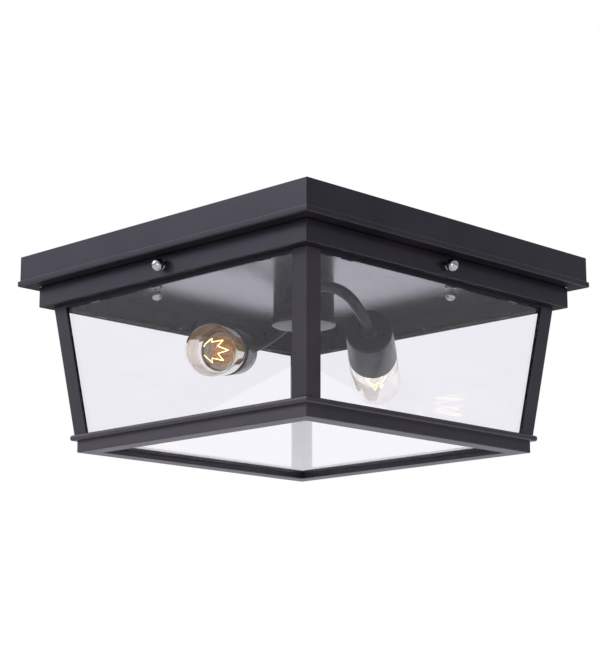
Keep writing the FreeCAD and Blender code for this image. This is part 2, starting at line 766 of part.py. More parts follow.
def top_ring():
    wall = square_block("ring_wall", ring_side, ring_foot, ring_top)
    soft = rounded("ring_soft", wall, ring_round, upright_at(ring_side.value / 2))
    hollow = square_block("ring_hollow", ring_side - 2 * ring_sheet, ring_foot + ring_sheet, 0)
    opening_half = half_face(ring_foot) - post_sheet - glass_gap - glass_thick - glass_gap - 1.6
    opening = square_block("ring_opening", 2 * opening_half, ring_foot - 1, 0)
    body = cut("ring_opened", cut("ring_hollowed", soft, hollow), opening)
    pieces = [body]
    reach = half_face(ring_foot) - post_flange - 0.2
    for axis in ("x", "y"):
        for sign in SIGNS:
            outer = half_face(ring_foot)
            face = span(sign, outer - post_sheet, outer)
            foot_face = span(sign, half_face(ring_foot - lip_tall) - post_sheet,
                             half_face(ring_foot - lip_tall))
            run = (-reach, reach)
            if axis == "x":
                lip = taper("ring_lip", ring_foot - lip_tall, foot_face, run, ring_foot, face, run)
            else:
                lip = taper("ring_lip", ring_foot - lip_tall, run, foot_face, ring_foot, run, face)
            pieces.append(lip)
    holes = []
    for index in range(4):
        hole = doc.addObject("Part::Cylinder", "ring_thumb_hole")
        bind(hole, {"Radius": thumb_shank_radius + thread_fit, "Height": ring_side})
        hole.Placement = side_place(index, 0)
        holes.append(hole)
    node("top_ring", cut("ring_drilled", fuse("ring_and_lips", pieces), group("ring_holes", holes)))


def side_place(index, reach):
    """A placement whose Z points outwards through the middle of one ring side."""
    turn = Rotation(Vector(0, 0, 1), 90 * index)
    outwards = turn.multVec(Vector(1, 0, 0))
    height = (ring_top.value + ring_foot.value) / 2
    return Placement(outwards * reach + Vector(0, 0, height), Rotation(Vector(0, 0, 1), outwards))


def thumbscrews():
    face = ring_side / 2
    inside = face - ring_sheet
    tip = inside - collar_to_ring + thumb_tip_gap
    nuts = []
    for index, side in enumerate(("east", "north", "west", "south")):
        centre = face + thumb_ball_out
        shank = rod("thumb_shank", thumb_shank_radius, tip, centre)
        neck = cone("thumb_neck", thumb_neck_radius, thumb_neck_radius * 0.8, face + 0.2, centre - 2)
        head = ball("thumb_ball", thumb_ball_radius, centre)
        screw = fuse("thumb_solid", [shank, neck, head])
        node("thumbscrew_" + side, screw, side_place(index, 0))
        blank = rod("weld_nut_blank", weld_nut_radius, inside - weld_nut_tall, inside)
        hole = rod("weld_nut_hole", thumb_shank_radius + thread_fit, 0, ring_side)
        nut = cut("weld_nut", blank, hole)
        nut.Placement = side_place(index, 0)
        nuts.append(nut)
    node("ring_weld_nuts", group("weld_nuts", nuts))


def corner_posts():
    for corner, x_sign, y_sign in (("near", 1, -1), ("right", 1, 1), ("far", -1, 1), ("left", -1, -1)):
        ranges = []
        for height in (cage_foot, ring_foot):
            outer = half_face(height)
            ranges.append((span(x_sign, outer - post_flange, outer), span(y_sign, outer - post_flange, outer)))
        block = taper("post_block", cage_foot, ranges[0][0], ranges[0][1], ring_foot, ranges[1][0], ranges[1][1])
        hollow_low = cage_foot - 1
        hollow_high = ring_foot + 1
        inside = []
        for height in (hollow_low, hollow_high):
            outer = half_face(height) - post_sheet
            inner = outer - post_flange - 2
            inside.append((span(x_sign, inner, outer), span(y_sign, inner, outer)))
        hollow = taper("post_hollow", hollow_low, inside[0][0], inside[0][1],
                       hollow_high, inside[1][0], inside[1][1])
        node("corner_post_" + corner, cut("post_angle", block, hollow))


def side_glass():
    top = ring_foot - glass_end_gap
    foot = bead_foot + glass_end_gap
    for side, axis, sign in (("east", "x", 1), ("north", "y", 1), ("west", "x", -1), ("south", "y", -1)):
        across = []
        along = []
        for height in (foot, top):
            outer = half_face(height) - post_sheet - glass_gap
            inner = outer - glass_thick
            across.append(span(sign, inner, outer))
            reach = inner - glass_end_gap
            along.append((-reach, reach))
        if axis == "x":
            pane = taper("pane_" + side, foot, across[0], along[0], top, across[1], along[1])
        else:
            pane = taper("pane_" + side, foot, along[0], across[0], top, along[1], across[1])
        node("side_glass_" + side, pane)


def bottom_frame():
    """Bead, band and sill: one pressed square frame, with a ledge for each kind of glass."""
    seat_half = half_face(cage_foot) - post_sheet
    bead = square_block("frame_bead", bead_side, bead_foot, cage_foot)
    bead_hole = square_block("frame_bead_hole", 2 * seat_half, bead_foot - 1, 0)
    bead_ring = cut("frame_bead_ring", bead, bead_hole)
    band = square_block("frame_band", band_side, band_foot, bead_foot)
    band_hole = square_block("frame_band_hole", band_side - 2 * band_sheet, band_foot - 1, 0)
    band_ring = cut("frame_band_ring", band, band_hole)
    ledge_half = half_face(bead_foot) - post_sheet - glass_thick - 3
    ledge = square_block("frame_ledge", bead_side - 1, bead_foot - 1.2, bead_foot)
    ledge_hole = square_block("frame_ledge_hole", 2 * ledge_half, band_foot, 0)
    ledge_trim = square_block("frame_ledge_trim", band_side, bead_foot - 1.2, bead_foot)
    ledge_ring = cut("frame_ledge_ring", common("frame_ledge_inside", ledge, ledge_trim), ledge_hole)
    sill = square_block("frame_sill", band_side, band_foot, band_foot + 1.2)
    sill_hole = square_block("frame_sill_hole", band_side - 2 * sill_wide, band_foot - 1, 0)
    sill_ring = cut("frame_sill_ring", sill, sill_hole)
    hem = square_block("frame_hem", band_side - 2 * sill_wide + 2.4, band_foot, band_foot + sill_hem_tall)
    hem_hole = square_block("frame_hem_hole", band_side - 2 * sill_wide, band_foot - 1, 0)
    hem_ring = cut("frame_hem_ring", hem, hem_hole)
    bridge = square_block("frame_bridge", bead_side - 2, bead_foot, bead_foot + 1.2)
    bridge_hole = square_block("frame_bridge_hole", 2 * (half_face(bead_foot) - post_sheet) + 0.2,
                               bead_foot - 1, 0)
    bridge_ring = cut("frame_bridge_ring", bridge, bridge_hole)
    node("bottom_frame", fuse("frame_solid", [bead_ring, band_ring, ledge_ring, sill_ring, hem_ring,
                                              bridge_ring]))


def common(name, first, second):
    result = doc.addObject("Part::Common", name)
    result.Base = first
    result.Tool = second
    return result


def bottom_glass():
    ledge_half = half_face(bead_foot) - post_sheet - glass_thick - 3
    side = 2 * (ledge_half - glass_end_gap)
    foot = band_foot + sill_hem_tall
    node("bottom_glass", square_block("bottom_pane", side, foot, foot + glass_thick))


def glass_clips():
    """Small clips on the ring, two to a side: a foot on its flange, a tongue and a toe to the glass."""
    clips = []
    screws = []
    foot_top = ring_foot + ring_sheet + clip_sheet
    for index in range(4):
        for sign in SIGNS:
            middle = sign * clip_spacing / 2
            run = (middle - clip_wide / 2, middle + clip_wide / 2)
            edge = half_face(ring_foot) - post_sheet - glass_gap - glass_thick - glass_gap - 1.6
            foot = box("clip_foot", (edge - clip_sheet, run[0], ring_foot + ring_sheet),
                       (edge + 9, run[1], foot_top))
            drop_low = ring_foot - clip_drop
            glass_back = post_sheet + glass_gap + glass_thick + glass_gap
            tongue_out = edge - 0.1
            tongue = box("clip_tongue", (tongue_out - clip_sheet, run[0], drop_low),
                         (tongue_out, run[1], foot_top))
            toe = box("clip_toe", (tongue_out - clip_sheet, run[0], drop_low),
                      (half_face(drop_low) - glass_back - 0.15, run[1], drop_low + clip_sheet))
            hole = rod("clip_hole", clip_screw_radius + thread_fit, ring_foot - 1, 0, (edge + 5, middle))
            clip = cut("clip", fuse("clip_blank", [foot, tongue, toe]), hole)
            turn = Placement(Vector(0, 0, 0), Rotation(Vector(0, 0, 1), 90 * index))
            clip.Placement = turn
            clips.append(clip)
            head = rod("clip_screw_head", clip_screw_radius * 1.9, foot_top, foot_top + 1.4,
                       (edge + 5, middle))
            shank = rod("clip_screw_shank", clip_screw_radius, ring_foot + ring_sheet + 0.1, foot_top + 0.5,
                        (edge + 5, middle))
            screw = fuse("clip_screw", [head, shank])
            screw.Placement = turn
            screws.append(screw)
    node("glass_clips", group("clips", clips))
    node("clip_screws", group("clip_screw_set", screws))


# ---------------------------------------------------------------- build

ARMS = (
    arm_plan("right", 1, 12.2, 40.8, (35.2, 78.7, 49.8), 17.3, (54.6, 45.0, 76.2), 5.5, 10.0,
             (28.5, 20.2, 35.5)),
    arm_plan("left", -1, 5.2, 50.4, (35.1, 78.7, 62.3), 18.0, (60.5, 45.0, 76.4), 8.0, 10.5,
             (20.2, 40.5, 34.0)),
)
doc.recompute()

mounting_strap()
strap_fasteners()
ceiling_pan()
pan_collar()
hub()
for one_arm in ARMS:
    make_arm(one_arm)
    make_socket(one_arm)
    make_lamp(one_arm)
ball_nuts()
top_ring()
thumbscrews()
corner_posts()
side_glass()
bottom_frame()
bottom_glass()
glass_clips()
doc.recompute()

for thing in doc.Objects:
    if "Invalid" in thing.State or "Error" in thing.State:
        raise RuntimeError("failed: %s %s" % (thing.Name, thing.State))
for piece in nodes:
    if piece.Shape.isNull() or not piece.Shape.isValid() or not piece.Shape.Solids:
        raise RuntimeError("bad shape: %s" % piece.Label)

os.makedirs("parts", exist_ok=True)
for piece in nodes:
    piece.Shape.exportStep("parts/%s.step" % piece.Label)
    print("%-24s %d solid(s) %10.1f mm3" % (piece.Label, len(piece.Shape.Solids), piece.Shape.Volume))
print(len(nodes), "nodes")
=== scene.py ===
import json
import math

import bpy
from mathutils import Matrix, Vector


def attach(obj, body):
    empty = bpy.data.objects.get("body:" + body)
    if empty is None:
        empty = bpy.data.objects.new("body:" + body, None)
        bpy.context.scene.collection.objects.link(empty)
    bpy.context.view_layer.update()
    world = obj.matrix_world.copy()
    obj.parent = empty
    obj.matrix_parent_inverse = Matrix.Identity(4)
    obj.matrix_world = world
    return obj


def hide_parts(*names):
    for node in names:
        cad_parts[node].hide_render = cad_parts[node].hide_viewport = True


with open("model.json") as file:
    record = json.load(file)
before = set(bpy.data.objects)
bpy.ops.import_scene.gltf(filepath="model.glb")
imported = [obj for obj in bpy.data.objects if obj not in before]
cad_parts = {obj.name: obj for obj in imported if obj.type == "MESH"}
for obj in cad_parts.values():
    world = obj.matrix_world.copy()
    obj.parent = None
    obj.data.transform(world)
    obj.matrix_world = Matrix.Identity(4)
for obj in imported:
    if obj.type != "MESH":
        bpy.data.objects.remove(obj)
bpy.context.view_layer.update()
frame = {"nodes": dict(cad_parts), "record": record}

nodes = frame["nodes"]

# ------------------------------------------------------------------ the photograph's camera
# The lantern is seen from under its near corner, a little over a metre and a half away, with the
# camera tilted up. The values come from fitting the pan's and the frame's corners in the photo.

PHOTO_WIDE, PHOTO_TALL = 600, 660
FOCAL_PIXELS = 1859.9
MIDDLE_X, MIDDLE_Y = 294.0, 335.2
CAMERA_AWAY = 1.6048
CAMERA_HEIGHT = -0.4064
CAMERA_BEARING = math.radians(45 - 0.577)
CAMERA_TILT = math.radians(11.83)
CAMERA_SWING = math.radians(-0.306)

ahead = Vector((-math.sin(CAMERA_BEARING), math.cos(CAMERA_BEARING), 0))
aside = Vector((math.cos(CAMERA_BEARING), math.sin(CAMERA_BEARING), 0))
swung_ahead = ahead * math.cos(CAMERA_SWING) + aside * math.sin(CAMERA_SWING)
swung_aside = aside * math.cos(CAMERA_SWING) - ahead * math.sin(CAMERA_SWING)
up = Vector((0, 0, 1))
tilted_ahead = swung_ahead * math.cos(CAMERA_TILT) + up * math.sin(CAMERA_TILT)
tilted_up = up * math.cos(CAMERA_TILT) - swung_ahead * math.sin(CAMERA_TILT)

lens = bpy.data.cameras.new("photo_camera")
lens.sensor_fit = "AUTO"
lens.sensor_width = 36.0
lens.lens = FOCAL_PIXELS / PHOTO_TALL * lens.sensor_width
lens.shift_x = (PHOTO_WIDE / 2 - MIDDLE_X) / PHOTO_TALL
lens.shift_y = (MIDDLE_Y - PHOTO_TALL / 2) / PHOTO_TALL
camera = bpy.data.objects.new("photo_camera", lens)
bpy.context.scene.collection.objects.link(camera)
turn = Matrix((swung_aside, tilted_up, -tilted_ahead)).transposed()
camera.matrix_world = Matrix.Translation(-ahead * CAMERA_AWAY + up * CAMERA_HEIGHT) @ turn.to_4x4()
bpy.context.scene.camera = camera
bpy.context.scene.view_settings.view_transform = "Standard"

# ------------------------------------------------------------------ studio
# A plain pale room: a floor well below the lantern, a soft even sky and large soft lamps, the one
# on the left stronger, as on the photographed lantern. What the camera sees behind it is white.

FLOOR_HEIGHT = -0.75
SKY_LIGHT = 0.7
BRIGHT_SIDE = 1.6
DARK_SIDE = 0.52
LOW_SKY = 0.2
BACKGROUND_WHITE = (1.0, 1.0, 1.0, 1)
MIRRORED_SKY = (0.86, 0.85, 1.0, 1)
MIRRORED_FLOOR = (0.94, 0.93, 1.0, 1)
FLOOR_SIDE = 8
FLOOR_GREY = (0.8, 0.8, 0.81, 1)
FLOOR_THROUGH_GLASS = (0.83, 0.83, 1.0, 1)
LANTERN_MIDDLE = Vector((0, 0, -0.09))


def nodes_of(material):
    material.use_nodes = True
    tree = material.node_tree
    tree.nodes.clear()
    return tree


def add(tree, kind, **values):
    """A node with some of its input sockets or properties set."""
    made = tree.nodes.new(kind)
    for name, value in values.items():
        socket = name.replace("_", " ")
        if socket in made.inputs:
            made.inputs[socket].default_value = value
        else:
            setattr(made, name, value)
    return made


def either(tree, first, second):
    """The larger of two values."""
    made = add(tree, "ShaderNodeMath", operation="MAXIMUM")
    tree.links.new(first, made.inputs[0])
    tree.links.new(second, made.inputs[1])
    return made.outputs[0]


def shader_mix(tree, switch, off, on):
    """The first shader where the switch is 0, and the second where it is 1."""
    made = add(tree, "ShaderNodeMixShader")
    tree.links.new(switch, made.inputs[0])
    tree.links.new(off, made.inputs[1])
    tree.links.new(on, made.inputs[2])
    return made.outputs[0]


world = bpy.data.worlds.new("studio_sky")
bpy.context.scene.world = world
sky = nodes_of(world)
rays = add(sky, "ShaderNodeLightPath")
shown = add(sky, "ShaderNodeBackground", Color=BACKGROUND_WHITE, Strength=1.0)
soft_light = add(sky, "ShaderNodeBackground", Color=(1, 1, 1, 1), Strength=SKY_LIGHT)
direction = add(sky, "ShaderNodeTexCoord")
parts = add(sky, "ShaderNodeSeparateXYZ")
sky.links.new(direction.outputs["Generated"], parts.inputs[0])
upper = add(sky, "ShaderNodeMapRange", From_Min=-0.6, From_Max=0.6, To_Min=BRIGHT_SIDE, To_Max=DARK_SIDE)
sky.links.new(parts.outputs["X"], upper.inputs[0])
darker = add(sky, "ShaderNodeMapRange", From_Min=0.03, From_Max=0.2, To_Min=LOW_SKY)
sky.links.new(parts.outputs["Z"], darker.inputs[0])
sky.links.new(upper.outputs[0], darker.inputs["To Max"])
below = add(sky, "ShaderNodeMapRange", From_Min=-0.1, From_Max=0.0, To_Min=MIRRORED_FLOOR[0],
            To_Max=0.0)
sky.links.new(parts.outputs["Z"], below.inputs[0])
mirrored = add(sky, "ShaderNodeBackground", Color=MIRRORED_SKY)
sky.links.new(either(sky, darker.outputs[0], below.outputs[0]), mirrored.inputs["Strength"])
straight = either(sky, rays.outputs["Is Camera Ray"], rays.outputs["Is Transmission Ray"])
lit = shader_mix(sky, rays.outputs["Is Glossy Ray"], soft_light.outputs[0], mirrored.outputs[0])
sky_out = add(sky, "ShaderNodeOutputWorld")
sky.links.new(shader_mix(sky, straight, lit, shown.outputs[0]), sky_out.inputs[0])

bpy.ops.object.select_all(action="DESELECT")
bpy.ops.mesh.primitive_plane_add(size=FLOOR_SIDE, location=(0, 0, FLOOR_HEIGHT))
floor = bpy.context.object
floor.name = "studio_floor"
floor_paint = bpy.data.materials.new("pale_floor")
floor_tree = nodes_of(floor_paint)
floor_matt = add(floor_tree, "ShaderNodeBsdfDiffuse", Color=FLOOR_GREY)
floor_white = add(floor_tree, "ShaderNodeEmission", Color=FLOOR_THROUGH_GLASS, Strength=1.0)
floor_glow = add(floor_tree, "ShaderNodeEmission", Color=MIRRORED_FLOOR, Strength=1.0)
floor_rays = add(floor_tree, "ShaderNodeLightPath")
seen_through = shader_mix(floor_tree, floor_rays.outputs["Is Transmission Ray"], floor_matt.outputs[0],
                          floor_white.outputs[0])
floor_out = add(floor_tree, "ShaderNodeOutputMaterial")
floor_tree.links.new(
    shader_mix(floor_tree, floor_rays.outputs["Is Glossy Ray"], seen_through, floor_glow.outputs[0]),
    floor_out.inputs[0])
floor.data.materials.append(floor_paint)


def soft_lamp(name, place, size, watts):
    """A large square lamp that looks at the lantern's middle."""
    data = bpy.data.lights.new(name, "AREA")
    data.shape = "SQUARE"
    data.size = size
    data.energy = watts
    lamp = bpy.data.objects.new(name, data)
    bpy.context.scene.collection.objects.link(lamp)
    lamp.location = place
    lamp.rotation_euler = (Vector(place) - LANTERN_MIDDLE).to_track_quat("Z", "Y").to_euler()
    lamp.visible_transmission = False


soft_lamp("left_window", (-1.3, -2.3, 1.7), 1.6, 30)
soft_lamp("low_front", (1.3, -1.7, -0.2), 0.8, 5)

# ------------------------------------------------------------------ strap, studs and ground screw
# A zinc-plated steel bar is screwed to the ceiling box. Two threaded studs with lock nuts carry the
# pan, and a green screw holds the ground wire. All are stamped or turned, with edges barely eased.

MM = 0.001
MERGE_WITHIN = 0.002 * MM
record = frame["record"]
body_of = {name: body for body, names in record["behaviour"]["bodies"].items() for name in names}


def only(piece):
    bpy.ops.object.select_all(action="DESELECT")
    piece.select_set(True)
    bpy.context.view_layer.objects.active = piece


def coated(piece, material):
    piece.data.materials.clear()
    piece.data.materials.append(material)


def stands_for(piece, *names):
    """The piece replaces these parts of the lantern, and moves as the first of them."""
    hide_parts(*names)
    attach(piece, body_of[names[0]])


def edges_eased(piece, width, steps):
    """Rounds every sharp edge a little, and keeps the flat faces flat to the light."""
    only(piece)
    bpy.ops.object.shade_smooth()
    easing = piece.modifiers.new("eased_edges", "BEVEL")
    easing.width = width * MM
    easing.segments = steps
    easing.limit_method = "ANGLE"
    easing.angle_limit = math.radians(42)
    bpy.ops.object.modifier_apply(modifier=easing.name)
    flats = piece.modifiers.new("flat_faces", "WEIGHTED_NORMAL")
    flats.mode = "FACE_AREA"
    flats.weight = 100
    bpy.ops.object.modifier_apply(modifier=flats.name)


def eased_copy(name, width, material, steps=2):
    """A copy of one part with its sharp edges rounded a little, as paint and pressing leave them."""
    piece = bpy.data.objects.new(name + "_eased", nodes[name].data.copy())
    bpy.context.scene.collection.objects.link(piece)
    only(piece)
    bpy.ops.mesh.customdata_custom_splitnormals_clear()
    bpy.ops.object.mode_set(mode="EDIT")
    bpy.ops.mesh.select_all(action="SELECT")
    bpy.ops.mesh.remove_doubles(threshold=MERGE_WITHIN)
    bpy.ops.mesh.dissolve_limited(angle_limit=math.radians(0.6))
    bpy.ops.object.mode_set(mode="OBJECT")
    edges_eased(piece, width, steps)
    coated(piece, material)
    stands_for(piece, name)
    return piece


def object_textures(tree, *textures):
    """Lays these textures over the piece in its own coordinates."""
    where = add(tree, "ShaderNodeTexCoord")
    for texture in textures:
        tree.links.new(where.outputs["Object"], texture.inputs["Vector"])


def blended(tree, amount, first, second):
    """A colour that goes from the first to the second."""
    mix = add(tree, "ShaderNodeMixRGB")
    mix.inputs[1].default_value = first
    mix.inputs[2].default_value = second
    tree.links.new(amount, mix.inputs[0])
    return mix.outputs[0]


def ranged(tree, value, low, high, to_low, to_high):
    made = add(tree, "ShaderNodeMapRange", From_Min=low, From_Max=high, To_Min=to_low, To_Max=to_high)
    tree.links.new(value, made.inputs[0])
    return made.outputs[0]


def bumped(tree, height, strength, distance):
    bump = add(tree, "ShaderNodeBump", Strength=strength, Distance=distance)
    tree.links.new(height, bump.inputs["Height"])
    return bump.outputs[0]


def surfaced(tree, values, **driven):
    """Ends a material in one shader that has these socket values, and these sockets driven by nodes."""
    shader = add(tree, "ShaderNodeBsdfPrincipled", **values)
    for name, output in driven.items():
        tree.links.new(output, shader.inputs[name.replace("_", " ")])
    out = add(tree, "ShaderNodeOutputMaterial")
    tree.links.new(shader.outputs[0], out.inputs[0])


def plated_metal(name, colour, darker, rough_low, rough_high):
    """Bare or plated metal: a cloudy tone and a roughness that varies with it, and fine scratches."""
    material = bpy.data.materials.new(name)
    tree = nodes_of(material)
    cloud = add(tree, "ShaderNodeTexNoise", Scale=160.0, Detail=4.0, Roughness=0.6)
    scratch = add(tree, "ShaderNodeTexNoise", Scale=1440.0, Detail=2.0, Roughness=0.5)
    object_textures(tree, cloud, scratch)
    surfaced(tree, {"Metallic": 1.0},
             Base_Color=blended(tree, cloud.outputs[0], colour, darker),
             Roughness=ranged(tree, cloud.outputs[0], 0.3, 0.7, rough_low, rough_high),
             Normal=bumped(tree, scratch.outputs[0], 0.15, 0.02 * MM))
    return material


def coating(name, dark, light, rough_low, rough_high, peel, sheen_tint=(1, 1, 1, 1), **finish):
    """Paint, glaze or plastic: a cloudy tone with fine specks, uneven gloss and a slight orange peel. A
    sheen tint other than white colours its reflections: a painted reflection colour.
    """
    material = bpy.data.materials.new(name)
    tree = nodes_of(material)
    cloud = add(tree, "ShaderNodeTexNoise", Scale=24.0, Detail=5.0, Roughness=0.55)
    specks = add(tree, "ShaderNodeTexNoise", Scale=1300.0, Detail=1.0, Roughness=0.5)
    skin = add(tree, "ShaderNodeTexNoise", Scale=520.0, Detail=1.0, Roughness=0.4)
    object_textures(tree, cloud, specks, skin)
    total = add(tree, "ShaderNodeMath", operation="ADD")
    tree.links.new(ranged(tree, cloud.outputs[0], 0.35, 0.7, 0.0, 0.75), total.inputs[0])
    tree.links.new(ranged(tree, specks.outputs[0], 0.62, 0.72, 0.0, 0.25), total.inputs[1])
    surfaced(tree, {"IOR": 1.4, "Specular_Tint": sheen_tint, "Coat_Roughness": 0.22, **finish},
             Base_Color=blended(tree, total.outputs[0], dark, light),
             Roughness=ranged(tree, cloud.outputs[0], 0.3, 0.7, rough_low, rough_high),
             Normal=bumped(tree, skin.outputs[0], peel, 0.04 * MM))
    return material


zinc_plate = plated_metal("zinc_plate", (0.6, 0.6, 0.58, 1), (0.42, 0.43, 0.44, 1), 0.25, 0.42)
ground_green = coating("ground_green", (0.01, 0.12, 0.03, 1), (0.02, 0.2, 0.06, 1), 0.3, 0.45, 0.2)
eased_copy("mounting_strap", 0.4, zinc_plate)
eased_copy("strap_studs", 0.3, zinc_plate)
eased_copy("stud_nuts", 0.35, zinc_plate)
eased_copy("ground_screw", 0.35, ground_green)

# ------------------------------------------------------------------ ceiling pan
# A deep square pan of folded sheet steel hides the box. Its lower edge is rolled outwards into a
# small lip, its corners are welded and dressed, and it is sprayed in the lantern's satin paint.

SATIN_DARK = (0.011, 0.010, 0.014, 1)
SATIN_WARM = (0.022, 0.018, 0.023, 1)
# The paint's reflections are tinted lilac: a painted reflection colour.
LILAC_PAINTED_SHEEN = (0.90, 0.88, 1.0, 1)
RING_FACE = 165.5
STUD_REACH = 258.0 / 2 / math.sqrt(2)
STUD_HOLE = 2.5
PIPE_HOLE = 5.05


def eased_outline(corners, steps=4):
    """An outline in which each corner that has a radius, its third value, becomes an arc."""
    points = []
    for index, corner in enumerate(corners):
        here = Vector(corner[:2])
        if len(corner) < 3:
            points.append(here)
            continue
        before = Vector(corners[index - 1][:2]) - here
        after = Vector(corners[(index + 1) % len(corners)][:2]) - here
        half = before.angle(after) / 2
        setback = min(corner[2] / math.tan(half), before.length * 0.49, after.length * 0.49)
        middle = (before.normalized() + after.normalized()).normalized()
        centre = here + middle * setback * math.tan(half) / math.sin(half)
        first = here + before.normalized() * setback - centre
        last = here + after.normalized() * setback - centre
        sweep = math.pi - 2 * half
        for step in range(steps + 1):
            along = step / steps
            points.append(centre + (first * math.sin((1 - along) * sweep) + last * math.sin(along * sweep))
                          / math.sin(sweep))
    return points


def carried_round(name, outline, corners=72):
    """An outline of (reach, height) carried round the upright axis: with 4 corners it makes a square
    frame with mitred corners, and with many it is turned as on a lathe."""
    across = Vector((1, 1, 0)) if corners == 4 else Vector((1, 0, 0))
    bpy.ops.object.select_all(action="DESELECT")
    bpy.ops.mesh.primitive_plane_add(size=0.001)
    piece = bpy.context.object
    piece.name = name
    bpy.ops.object.mode_set(mode="EDIT")
    bpy.ops.mesh.merge(type="CENTER")
    here = Vector((0, 0, 0))
    for number, (reach, height) in enumerate(outline):
        there = (across * reach + Vector((0, 0, height))) * MM
        if number:
            bpy.ops.mesh.extrude_region_move(TRANSFORM_OT_translate={"value": there - here})
        else:
            bpy.ops.transform.translate(value=there)
        here = there
    bpy.ops.mesh.select_all(action="SELECT")
    bpy.ops.mesh.spin(steps=corners, angle=math.tau, center=(0, 0, 0), axis=(0, 0, 1))
    bpy.ops.mesh.select_all(action="SELECT")
    bpy.ops.mesh.remove_doubles(threshold=MERGE_WITHIN)
    bpy.ops.mesh.normals_make_consistent(inside=False)
    bpy.ops.object.mode_set(mode="OBJECT")
    return piece


def drilled(piece, radius, low, high, spots):
    """Drills upright holes at these places."""
    for spot_x, spot_y in spots:
        bpy.ops.object.select_all(action="DESELECT")
        bpy.ops.mesh.primitive_cylinder_add(
            vertices=32, radius=radius * MM, depth=(high - low) * MM,
            location=(spot_x * MM, spot_y * MM, (low + high) / 2 * MM))
        drill = bpy.context.object
        only(piece)
        hole = piece.modifiers.new("hole", "BOOLEAN")
        hole.operation = "DIFFERENCE"
        hole.object = drill
        bpy.ops.object.modifier_apply(modifier=hole.name)
        bpy.data.objects.remove(drill)


satin_paint = coating("satin_paint", SATIN_DARK, SATIN_WARM, 0.25, 0.36, 0.06, LILAC_PAINTED_SHEEN)
pan = carried_round("ceiling_pan_pressing", eased_outline([
    (0, -27), (RING_FACE, -27), (179.3, -27, 1.1), (179.3, -22, 1.0), (177.8, -22, 0.5), (177.8, 0, 0.3),
    (176.6, 0, 0.3), (176.6, -25.8, 0.8), (0, -25.8)]), corners=4)
drilled(pan, STUD_HOLE, -30, -20, [(STUD_REACH, STUD_REACH), (-STUD_REACH, -STUD_REACH)])
drilled(pan, PIPE_HOLE, -30, -20, [(0, 0)])
edges_eased(pan, 1.0, 3)
coated(pan, satin_paint)
sheltered_paint = coating("sheltered_paint", SATIN_DARK, SATIN_WARM, 0.2, 0.28, 0.04, LILAC_PAINTED_SHEEN,
                          Coat_Weight=1.0)
# A paint that reflects little, put on undersides where shade falls: painted shade.
painted_shade_underside = coating("painted_shade_underside", SATIN_DARK, SATIN_WARM, 0.55, 0.7, 0.06, Specular_IOR_Level=0.12)
pan.data.materials.append(sheltered_paint)
pan.data.materials.append(painted_shade_underside)
# Downward faces inside the ring take the glossier sheltered paint. Those outside it, under the lip, take the
# paint that reflects little: painted shade for the dark gap under the lip.
for face in pan.data.polygons:
    if face.normal.z < -0.99:
        within_ring = max(abs(face.center.x), abs(face.center.y)) < RING_FACE * MM
        face.material_index = 1 if within_ring else 2
stands_for(pan, "ceiling_pan")

# ------------------------------------------------------------------ pan collar
# A square steel collar is welded under the pan. The cage's ring goes over it, and the thumbscrews
# bear on it from outside. It has the same paint as the pan.

eased_copy("pan_collar", 0.35, satin_paint)

# ------------------------------------------------------------------ hub
# A short threaded pipe and two nuts clamp a drawn steel cup under the pan. The arms go into its
# sides, and a turned cap closes it from below. The cup and cap are painted, the rest is plated.


def set_in_place(piece, place):
    only(piece)
    piece.matrix_world = place
    bpy.ops.object.transform_apply(location=True, rotation=True, scale=True)


def lathed(name, outline, place, material, replaced, corners=72):
    """One piece turned on a lathe, set in its place and coated."""
    piece = carried_round(name, outline, corners)
    only(piece)
    bpy.ops.object.shade_smooth_by_angle(angle=math.radians(35))
    set_in_place(piece, place)
    coated(piece, material)
    stands_for(piece, replaced)


eased_copy("hub_pipe", 0.3, zinc_plate)
eased_copy("hub_pipe_nuts", 0.4, zinc_plate)
eased_copy("hub_body", 0.4, satin_paint)
lathed("hub_cap_turning", eased_outline([
    (0, -62), (27.6, -62, 1.5), (27.6, -56.3, 0.7), (23.8, -56.3), (23.8, -53.3, 0.3),
    (21.8, -53.3, 0.3), (21.8, -57.3), (7.5, -57.3), (7.5, -50.3, 0.3), (5.05, -50.3, 0.3),
    (5.05, -54.9), (0, -54.9)]), Matrix.Identity(4), satin_paint, "hub_cap")

# ------------------------------------------------------------------ arms
# Each arm is one steel tube, bent three times: out of the hub, over its crown and down into the
# back of its socket. A nut in the hub and one in the socket hold it, and a ring covers the joint.

ARM_RADIUS = 4.75
ARM_WALL = 1.0
HUB_LEVEL = -39.8
HUB_RADIUS = 25.9
ARM_START = 17.5
ARM_INTO_SOCKET = 5.5
ARMS = {
    "right": {"sign": 1, "leave": 12.2, "first_run": 40.8, "crown": (35.2, 78.7, 49.8),
              "last_run": 17.3, "socket": (54.6, 45.0, 76.2), "turn_out": 5.5, "dip": 10.0,
              "bends": (28.5, 20.2, 35.5)},
    "left": {"sign": -1, "leave": 5.2, "first_run": 50.4, "crown": (35.1, 78.7, 62.3),
             "last_run": 18.0, "socket": (60.5, 45.0, 76.4), "turn_out": 8.0, "dip": 10.5,
             "bends": (20.2, 40.5, 34.0)},
}
ACROSS = Vector((1, 1, 0)).normalized()
ALONG = Vector((1, -1, 0)).normalized()


def plan_spot(across, along, height):
    return ACROSS * across + ALONG * along + Vector((0, 0, height))


